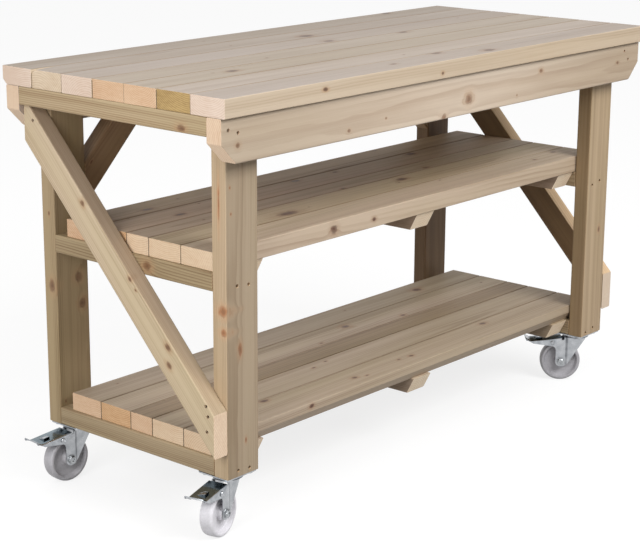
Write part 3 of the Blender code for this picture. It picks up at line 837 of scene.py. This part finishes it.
def zinc_finish(name, bright, dull, roughness, level_reflection_tint=(1.0, 1.0, 1.0, 1.0), band=None):
    """Bright zinc plating: a bluish silver with a cloudy sheen and fine scuffs.

    Where it lies level it can take a tint, a painted reflection, and a band across X of the setting that is
    given can be darkened as painted shade.
    """
    material, surface, start = new_finish(name)
    place = start.coordinates("Object")
    sheen = place.mottle((60.0, 60.0, 60.0), 4.0, 3.0)
    scuff = place.mottle((500.0, 120.0, 900.0), 9.0, 3.0)
    plating = (sheen * 1.8 + scuff * 0.9 + 0.5).between(bright, dull)
    # A level face can take a tint; on the pedal it is a painted reflection.
    level = start.coordinates("Normal").dot(Z_AXIS).rise(0.965, 0.990)
    plating = level.between(plating, level_reflection_tint, "MULTIPLY")
    if band:
        setting, low, high, band_shade_tint = band
        ahead = place.within(setting).part(0)
        painted_band_shade = ahead.rise(low - BAND_FADE, low) * (1 - ahead.rise(high - BAND_EDGE, high + BAND_EDGE))
        plating = (painted_band_shade * (sheen + 0.8)).between(plating, band_shade_tint, "MULTIPLY")
    plating.feed(surface, "Base Color")
    (sheen * 0.35 + scuff * 0.25 + roughness).feed(surface, "Roughness")
    (sheen + scuff).emboss(surface, 0.12, 0.0003)
    surface.inputs["Metallic"].default_value = 1.0
    return material


def turned(profile, steps=48):
    """A shape turned about Z from points of radius and height."""
    shape = bmesh.new()
    points = [shape.verts.new((radius, 0, height)) for radius, height in profile]
    line = [shape.edges.new(pair) for pair in zip(points, points[1:])]
    bmesh.ops.spin(
        shape, geom=points + line, cent=(0, 0, 0), axis=Z_AXIS, angle=2 * math.pi,
        steps=steps, use_merge=True,
    )
    bmesh.ops.remove_doubles(shape, verts=shape.verts, dist=WELD)
    bmesh.ops.recalc_face_normals(shape, faces=shape.faces)
    return shape


def join_into(whole, shape, setting=Matrix.Identity(4)):
    """Moves a shape to its place and adds it to a larger one."""
    move(shape, setting)
    carrier = bpy.data.meshes.new("carrier")
    shape.to_mesh(carrier)
    shape.free()
    whole.from_mesh(carrier)
    bpy.data.meshes.remove(carrier)


def hexagon_head(radius, height):
    """A hexagon head on the plane z = 0, its outer corners chamfered."""
    head = bmesh.new()
    add_rod(head, 6, radius, height, shift((0, 0, height / 2)))
    top_edges = [e for e in head.edges if all(v.co.z > height * 0.9 for v in e.verts)]
    round_off(head, top_edges, radius * HEX_CHAMFER, 3)
    return head


def metal_piece(name, shape, setting, finish, body, node, sharp=SHARP_ANGLE):
    """Puts a metal or moulded shape in the place of its solid, softly shaded across its curves."""
    move(shape, setting)
    piece = new_piece(name, shape)
    piece.data.shade_smooth()
    piece.data.set_sharp_from_angle(angle=sharp)
    piece.data.materials.append(finish)
    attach(piece, body)
    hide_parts(node)


zinc = zinc_finish("bright_zinc", *ZINC)
FACE_DOWN = turn(math.pi, "X")
corner_places = {}
for corner in CORNERS:
    low, high = box_of(f"caster_plate_{corner}")
    middle = (low + high) / 2
    corner_places[corner] = shift((middle.x, middle.y, 0))
    plate = block(PLATE_LENGTH, PLATE_WIDTH, PLATE_THICKNESS)
    upright_edges = [e for e in plate.edges if abs(e.verts[0].co.z - e.verts[1].co.z) > PLATE_THICKNESS / 2]
    round_off(plate, upright_edges, PLATE_CORNER, CORNER_STEPS)
    ease_edges(plate, SHEARED_EDGE)
    move(plate, shift((0, 0, PLATE_BOTTOM + PLATE_THICKNESS / 2)))
    join_into(plate, turned(RACE_PROFILE))
    join_into(plate, turned(KINGPIN_PROFILE, 32))
    for way_x, way_y in product((-1, 1), (-1, 1)):
        x = way_x * (PLATE_LENGTH / 2 - COACH_SCREW_INSET)
        y = way_y * (PLATE_WIDTH / 2 - COACH_SCREW_INSET)
        under = shift((x, y, PLATE_BOTTOM)) @ FACE_DOWN
        join_into(plate, turned(WASHER_PROFILE, 24), under)
        spanner_turn = turn(COACH_TURN_X * x + COACH_TURN_Y * y, "Z")
        head = hexagon_head(COACH_HEAD_RADIUS, COACH_HEAD_HEIGHT)
        join_into(plate, head, under @ shift((0, 0, COACH_HEAD_SEAT)) @ spanner_turn)
    metal_piece(
        f"pressed_plate_{corner}", plate, corner_places[corner], zinc, "bench", f"caster_plate_{corner}",
    )


# Caster forks
# Pressed from one zinc-plated sheet: a crown bent down into two legs that taper to the axle, with an ear on
# each leg for the brake pedal's rivet. Ahead of a crease down to the axle the sheet is pressed in for
# stiffness, and the lower race cup stands on top.

CASTER_TURN = {"front_left": 193, "front_right": 130, "back_left": 176, "back_right": 4}
FORK_SHEET = 0.0020
LEG_OUTER = 0.0196
CROWN_TOP = 0.1148
CROWN_FRONT = -0.022
CROWN_BACK = 0.030
AXLE_X = 0.038
AXLE_Z = 0.050
LEG_FOOT = 0.0365
LEG_HALF = 0.0130
PIVOT_X = 0.060
PIVOT_Z = 0.0998
EAR_RADIUS = 0.0065
CROWN_BEND = 0.0050
CREASES = (0.0270, 0.0225)
# Painted shade: the pressed band between the creases is darkened, for the shade in the crease.
CREASE_PAINTED_SHADE = (0.48, 0.48, 0.49, 1.0)
CREASE_ANGLE = math.radians(18)
PRESS_DEPTH = 0.0021
FOLDED_EDGE = 0.0004
BLANK_LENGTH = 0.120
BLANK_MIDDLE = 0.020
BLANK_SPARE = 0.010
CUTTER_WIDTH = 0.080
CROWN_LIP = 0.005
EAR_SLOPE = 0.008
LEG_ROUNDING = ((2, 0.0115), (3, 0.0120), (4, 0.006), (5, 0.005), (6, 0.006), (7, 0.003))
CUP_PROFILE = (
    (0.0064, 0.1140), (0.0064, 0.1198), (0.0255, 0.1198), (0.0278, 0.1192), (0.0288, 0.1178),
    (0.0291, 0.1160), (0.0300, 0.1149), (0.0318, 0.1144),
)
RIVET_PROFILE = (
    (0.0030, -0.0040), (0.0030, 0.0), (0.0055, 0.0), (0.0055, 0.0012), (0.0046, 0.0022), (0.0034, 0.0025),
    (0.0028, 0.0016), (0.0, 0.0014),
)
RIVET_SEAT = 0.0228


def side_panel(outline, rounded, width):
    """A flat shape of some width seen from the side, as x and z, with some of its corners rounded."""
    panel = bmesh.new()
    points = [panel.verts.new((x, -width / 2, z)) for x, z in outline]
    panel.faces.new(points)
    for corner, radius in rounded:
        round_off(panel, [points[corner]], radius, CORNER_STEPS, "VERTICES")
    lifted = bmesh.ops.extrude_face_region(panel, geom=panel.faces[:])
    moved = [part for part in lifted["geom"] if isinstance(part, bmesh.types.BMVert)]
    bmesh.ops.translate(panel, vec=(0, width, 0), verts=moved)
    bmesh.ops.recalc_face_normals(panel, faces=panel.faces)
    return panel


def fork_shape():
    """A fork in its caster's own frame: a bent channel, cut to the outline of the legs and their ears."""
    height = CROWN_TOP - LEG_FOOT + BLANK_SPARE
    channel = block(BLANK_LENGTH, 2 * LEG_OUTER, height)
    move(channel, shift((BLANK_MIDDLE, 0, CROWN_TOP - height / 2)))
    channel.normal_update()
    open_faces = [f for f in channel.faces if f.normal.z < -0.5 or abs(f.normal.x) > 0.5]
    bmesh.ops.delete(channel, geom=open_faces, context="FACES")
    crown_edges = [e for e in channel.edges if all(v.co.z > CROWN_TOP - WELD for v in e.verts)]
    bends = [e for e in crown_edges if len(e.link_faces) == 2]
    round_off(channel, bends, CROWN_BEND, CORNER_STEPS)
    for crease in CREASES:
        whole = channel.verts[:] + channel.edges[:] + channel.faces[:]
        bmesh.ops.bisect_plane(channel, geom=whole, plane_co=(crease, 0, 0), plane_no=X_AXIS)
    for vert in channel.verts:
        if vert.co.x < CREASES[1] + WELD:
            vert.co.y -= math.copysign(PRESS_DEPTH, vert.co.y)
    sheet = new_piece("fork_sheet", channel)
    wall = sheet.modifiers.new("sheet", "SOLIDIFY")
    wall.thickness = FORK_SHEET
    wall.offset = -1
    ear_back = PIVOT_X + EAR_RADIUS
    ear_top = PIVOT_Z + EAR_RADIUS
    ear_root = PIVOT_Z - EAR_RADIUS
    leg_back = AXLE_X + LEG_HALF
    above = CROWN_TOP + BLANK_SPARE
    outline = (
        (CROWN_FRONT, above), (CROWN_FRONT, CROWN_TOP - CROWN_LIP), (AXLE_X - LEG_HALF, LEG_FOOT),
        (leg_back, LEG_FOOT), (leg_back, ear_root - EAR_SLOPE), (ear_back, ear_root), (ear_back, ear_top),
        (CROWN_BACK, ear_top), (CROWN_BACK, above),
    )
    legs = side_panel(outline, LEG_ROUNDING, CUTTER_WIDTH)
    cut_with(sheet, new_piece("fork_outline", legs), "INTERSECT")
    fork = bmesh.new()
    fork.from_mesh(sheet.data)
    bpy.data.objects.remove(sheet)
    bmesh.ops.remove_doubles(fork, verts=fork.verts, dist=WELD)
    bmesh.ops.dissolve_limit(fork, angle_limit=math.radians(1), verts=fork.verts, edges=fork.edges)
    ease_edges(fork, FOLDED_EDGE)
    join_into(fork, turned(CUP_PROFILE))
    for side in (-1, 1):
        outwards = turn(-side * math.pi / 2, "X")
        seat = shift((PIVOT_X, side * RIVET_SEAT, PIVOT_Z))
        join_into(fork, turned(RIVET_PROFILE, 24), seat @ outwards)
    return fork


def caster_place(corner):
    """From a caster's own frame, with its trail along X, to its corner of the bench."""
    return corner_places[corner] @ turn(math.radians(CASTER_TURN[corner]), "Z")


for corner in CORNERS:
    setting = caster_place(corner)
    # The band between the creases is darkened as painted shade.
    painted_band_shade = (setting, CREASES[1], CREASES[0], CREASE_PAINTED_SHADE)
    fork_zinc = zinc_finish(f"bright_zinc_{corner}", *ZINC, band=painted_band_shade)
    metal_piece(
        f"pressed_fork_{corner}", fork_shape(), setting, fork_zinc, f"swivel_{corner}", f"fork_{corner}",
        sharp=CREASE_ANGLE,
    )


# Axles
# A plain steel bolt through both legs and the hub, with a hexagon at each end whose middle is hollow.

HEX_RADIUS = 0.0095
HEX_SEAT = 0.0203
HEX_HEIGHT = 0.0040
HEX_TURN = 0.4
SHANK_RADIUS = 0.0058
SHANK_LENGTH = 0.0416
AXLE_PLACE = shift((AXLE_X, 0, AXLE_Z))
SEAT_WASHER = (
    (0.0060, -0.0012), (0.0112, -0.0012), (0.0112, -0.0002), (0.0108, 0.0003), (0.0060, 0.0003),
)
COLLAR_PROFILE = (
    (0.0, 0.0030), (0.0036, 0.0030), (0.0040, 0.0058), (0.0062, 0.0058), (0.0074, 0.0050), (0.0078, 0.0038),
)
steel = zinc_finish("bright_steel", paint(188, 190, 192), paint(140, 143, 146), 0.28)
for corner in CORNERS:
    axle = bmesh.new()
    add_rod(axle, 32, SHANK_RADIUS, SHANK_LENGTH, turn(math.pi / 2, "X"))
    for side in (-1, 1):
        seat = shift((0, side * HEX_SEAT, 0)) @ turn(-side * math.pi / 2, "X")
        join_into(axle, hexagon_head(HEX_RADIUS, HEX_HEIGHT), seat @ turn(HEX_TURN, "Z"))
        join_into(axle, turned(COLLAR_PROFILE, 32), seat)
        join_into(axle, turned(SEAT_WASHER, 32), seat)
    metal_piece(
        f"bolt_axle_{corner}", axle, caster_place(corner) @ AXLE_PLACE, steel, f"swivel_{corner}",
        f"axle_{corner}",
    )


# Wheels
# Solid white nylon, injection moulded: a rounded tread, a deep hollow in each side and a plain hub boss.

WHEEL_SIDE = (
    (0.0063, 0.0160), (0.0132, 0.0160), (0.0141, 0.0155), (0.0145, 0.0146), (0.0152, 0.0062),
    (0.0160, 0.0050), (0.0180, 0.0046), (0.0350, 0.0046), (0.0378, 0.0052), (0.0394, 0.0070),
    (0.0412, 0.0132), (0.0420, 0.0145), (0.0434, 0.0150), (0.0452, 0.0150), (0.0472, 0.0144),
    (0.0488, 0.0130), (0.0496, 0.0110), (0.0499, 0.0080), (0.0500, 0.0040), (0.0500, 0.0),
)
WHEEL_STEPS = 72
# Painted light and shade: each corner's nylon is lighter or darker by where the wheel stands, darkest under
# the bench at the front right.
NYLON_LIT_AND_SHADED = {
    "front_left": (paint(228, 226, 231), paint(204, 202, 206)),
    "front_right": (paint(178, 176, 180), paint(152, 150, 154)),
    "back_left": (paint(189, 187, 191), paint(162, 160, 164)),
    "back_right": (paint(216, 214, 218), paint(190, 188, 192)),
}


def nylon_finish(name, clean, soiled):
    """White nylon, faintly cloudy, scuffed and soiled by the floor."""
    material, surface, start = new_finish(name)
    place = start.coordinates("Object")
    cloudy = place.mottle((45.0, 45.0, 45.0), 6.0, 3.0)
    scuffs = place.mottle((260.0, 260.0, 260.0), 12.0, 3.0)
    (cloudy * 1.6 + scuffs * 1.1 + 0.35).between(clean, soiled).feed(surface, "Base Color")
    (cloudy * 0.3 + scuffs * 0.4 + 0.40).feed(surface, "Roughness")
    scuffs.emboss(surface, 0.15, 0.0004)
    return material


for corner in CORNERS:
    nylon = nylon_finish(f"white_nylon_{corner}", *NYLON_LIT_AND_SHADED[corner])
    far_side = [(radius, -half) for radius, half in reversed(WHEEL_SIDE[:-1])]
    wheel = turned((*WHEEL_SIDE, *far_side, WHEEL_SIDE[0]), WHEEL_STEPS)
    lay_over = AXLE_PLACE @ turn(-math.pi / 2, "X")
    metal_piece(
        f"nylon_wheel_{corner}", wheel, caster_place(corner) @ lay_over, nylon, f"wheel_{corner}",
        f"wheel_{corner}",
    )


# Brake pedals
# A folded zinc-plated channel on two rivets: deep sides at the pivot, a turned-up lip at the tip, a raised
# louvre on top for the foot, and a shoe underneath that bears on the tread.

PEDAL_HALF = 0.0224
PEDAL_SHEET = 0.0020
PEDAL_FOLD = 0.0026
PEDAL_TOP = 0.0100
PEDAL_STATIONS = (
    (-0.0240, PEDAL_TOP, 0.0040), (-0.0200, PEDAL_TOP, 0.0050), (-0.0140, PEDAL_TOP, 0.0090),
    (-0.0110, PEDAL_TOP, 0.0130), (-0.0070, PEDAL_TOP, 0.0172), (-0.0025, PEDAL_TOP, 0.0188),
    (0.0030, PEDAL_TOP, 0.0190), (0.0080, PEDAL_TOP, 0.0176), (0.0280, PEDAL_TOP, 0.0128),
    (0.0480, PEDAL_TOP, 0.0078), (0.0520, 0.0101, 0.0050), (0.0550, 0.0106, 0.0036),
    (0.0580, 0.0122, 0.0034), (0.0620, 0.0152, 0.0034), (0.0660, 0.0190, 0.0034),
)
PEDAL_TILT = math.radians(6)
LOUVRE_LENGTH = 0.0150
LOUVRE_WIDTH = 0.0180
LOUVRE_HEIGHT = 0.0050
LOUVRE_X = 0.0320
LOUVRE_Z = 0.0121
LOUVRE_RIM = 0.0009
LOUVRE_DROP = 0.0008
SHOE_X = 0.0175
SHOE_WIDTH = 0.020
SHOE_LOW = -0.0088
SHOE_HIGH = 0.0090


def station_order(vert):
    """Runs round a channel's section: up one side and down the other."""
    return (vert.co.y, vert.co.z if vert.co.y < 0 else -vert.co.z)


def pedal_shape():
    """A pedal in the frame of its pivot: the channel drawn from station to station, a louvre and a shoe."""
    skin = bmesh.new()
    x, top, depth = PEDAL_STATIONS[0]
    section = ((-PEDAL_HALF, top - depth), (-PEDAL_HALF, top), (PEDAL_HALF, top), (PEDAL_HALF, top - depth))
    points = [skin.verts.new((x, y, z)) for y, z in section]
    chain = [skin.edges.new(pair) for pair in zip(points, points[1:])]
    for x, top, depth in PEDAL_STATIONS[1:]:
        grown = bmesh.ops.extrude_edge_only(skin, edges=chain)["geom"]
        chain = [part for part in grown if isinstance(part, bmesh.types.BMEdge)]
        fresh = sorted((part for part in grown if isinstance(part, bmesh.types.BMVert)), key=station_order)
        for vert, height in zip(fresh, (top - depth, top, top, top - depth)):
            vert.co.x = x
            vert.co.z = height
    bmesh.ops.recalc_face_normals(skin, faces=skin.faces)
    skin.normal_update()
    if sum(f.normal.z for f in skin.faces) < 0:
        bmesh.ops.reverse_faces(skin, faces=skin.faces)
    folds = [e for e in skin.edges if len(e.link_faces) == 2 and e.calc_face_angle() > math.radians(60)]
    round_off(skin, folds, PEDAL_FOLD, 4)
    sheet = new_piece("pedal_sheet", skin)
    wall = sheet.modifiers.new("sheet", "SOLIDIFY")
    wall.thickness = PEDAL_SHEET
    wall.offset = -1
    graph = bpy.context.evaluated_depsgraph_get()
    folded = bpy.data.meshes.new_from_object(sheet.evaluated_get(graph))
    bpy.data.objects.remove(sheet)
    pedal = bmesh.new()
    pedal.from_mesh(folded)

    louvre = block(LOUVRE_LENGTH, LOUVRE_WIDTH, LOUVRE_HEIGHT)
    toe = [v for v in louvre.verts if v.co.y < 0 and v.co.z > 0]
    bmesh.ops.translate(louvre, vec=(0, 0, -LOUVRE_HEIGHT * 0.8), verts=toe)
    louvre.normal_update()
    mouth = [f for f in louvre.faces if f.normal.y > 0.9]
    bmesh.ops.inset_region(louvre, faces=mouth, thickness=LOUVRE_RIM)
    bmesh.ops.translate(louvre, vec=(0, -LOUVRE_WIDTH * 0.6, -LOUVRE_DROP), verts=mouth[0].verts)
    ease_edges(louvre, FOLDED_EDGE)
    join_into(pedal, louvre, shift((LOUVRE_X, 0, LOUVRE_Z)))

    shoe = block(PEDAL_SHEET, SHOE_WIDTH, SHOE_HIGH - SHOE_LOW)
    ease_edges(shoe, SHEARED_EDGE)
    join_into(pedal, shoe, shift((SHOE_X, 0, (SHOE_LOW + SHOE_HIGH) / 2)))
    return pedal


# Painted reflection: the level top of the pedal is darkened and blued, as a mirror of dark surroundings.
LEVEL_PAINTED_REFLECTION = (0.42, 0.52, 0.56, 1.0)
pedal_zinc = zinc_finish("polished_zinc", paint(188, 191, 195), paint(140, 144, 149), 0.20, LEVEL_PAINTED_REFLECTION)
for corner in CORNERS:
    on_pivot = shift((PIVOT_X, 0, PIVOT_Z)) @ turn(PEDAL_TILT, "Y")
    metal_piece(
        f"folded_pedal_{corner}", pedal_shape(), caster_place(corner) @ on_pivot, pedal_zinc,
        f"pedal_{corner}", f"pedal_{corner}",
    )


# Studio
# A pale floor and soft light from above the front and from the left, with white all round, as in a
# catalogue picture.

scene = bpy.context.scene
AMBIENT_LOW = 0.08
AMBIENT_HIGH = 0.84
FLOOR_RADIUS = 14.0
FLOOR_TONE = (0.80, 0.80, 0.80, 1)
FLOOR_BOUNCE = (0.27, 0.27, 0.27, 1)
FLOOR_GLOW = 1.10
FLOOR_LIFT = 0.72
WHITE = (1, 1, 1, 1)


def plainly_seen(shade):
    """One for rays that show what they meet: straight, mirrored or through something clear."""
    shown = shade.node("LightPath", {}, "Is Camera Ray")
    for ray in ("Is Glossy Ray", "Is Transmission Ray"):
        shown = shown.maths("MAXIMUM", shade.node("LightPath", {}, ray))
    return shown


world = bpy.data.worlds.new("white_studio")
scene.world = world
world.use_nodes = True
sky = Shade(world.node_tree)
backdrop = world.node_tree.nodes["Background"]
backdrop.inputs["Color"].default_value = WHITE
height = sky.coordinates("Generated").part(2)
ambient = height.rise(0.0, 0.8) * (AMBIENT_HIGH - AMBIENT_LOW) + AMBIENT_LOW
(plainly_seen(sky) * (1 - ambient) + ambient).feed(backdrop, "Strength")

floor_shape = bmesh.new()
bmesh.ops.create_circle(floor_shape, cap_ends=True, segments=64, radius=FLOOR_RADIUS)
floor = new_piece("studio_floor", floor_shape)
floor_finish, plain_shader, ground = new_finish("pale_floor")
ground.tree.nodes.remove(plain_shader)
matt = ground.node("BsdfDiffuse", {"Color": FLOOR_TONE})
dim = ground.node("BsdfDiffuse", {"Color": FLOOR_BOUNCE})
glow = ground.node("Emission", {"Color": WHITE, "Strength": FLOOR_GLOW})
lifted = ground.node("MixShader", {0: FLOOR_LIFT, 1: matt, 2: glow})
floor_shader = ground.node("MixShader", {0: plainly_seen(ground), 1: dim, 2: lifted})
floor_shader.feed(ground.tree.nodes["Material Output"], "Surface")
floor.data.materials.append(floor_finish)


def hang_lamp(name, place, target, width, height, power):
    """A soft box at a place, aimed at a target."""
    lamp = bpy.data.lights.new(name, "AREA")
    lamp.shape = "RECTANGLE"
    lamp.size = width
    lamp.size_y = height
    lamp.energy = power
    holder = bpy.data.objects.new(name, lamp)
    aim = (Vector(target) - Vector(place)).to_track_quat("-Z", "Y")
    holder.matrix_world = shift(place) @ aim.to_matrix().to_4x4()
    scene.collection.objects.link(holder)


hang_lamp("front_soft_box", (0.1, -3.6, 3.3), (0.1, 0.0, 0.5), width=2.4, height=2.0, power=150)
hang_lamp("left_soft_box", (-3.0, -0.6, 1.5), (-0.6, 0.0, 0.5), width=1.5, height=1.5, power=49)

CAMERA_PLACE = (-2.999, -2.494, 1.418)
CAMERA_YAW = math.radians(49.30)
CAMERA_PITCH = math.radians(15.06)
CAMERA_ROLL = math.radians(0.31)
CAMERA_LENS = 98.66
CAMERA_SENSOR = 36.0

view = bpy.data.cameras.new("photograph")
view.lens = CAMERA_LENS
view.sensor_width = CAMERA_SENSOR
camera = bpy.data.objects.new("photograph", view)
look_down = turn(math.pi / 2 - CAMERA_PITCH, "X") @ turn(CAMERA_ROLL, "Z")
camera.matrix_world = shift(CAMERA_PLACE) @ turn(-CAMERA_YAW, "Z") @ look_down
scene.collection.objects.link(camera)
scene.camera = camera
scene.view_settings.view_transform = "Standard"
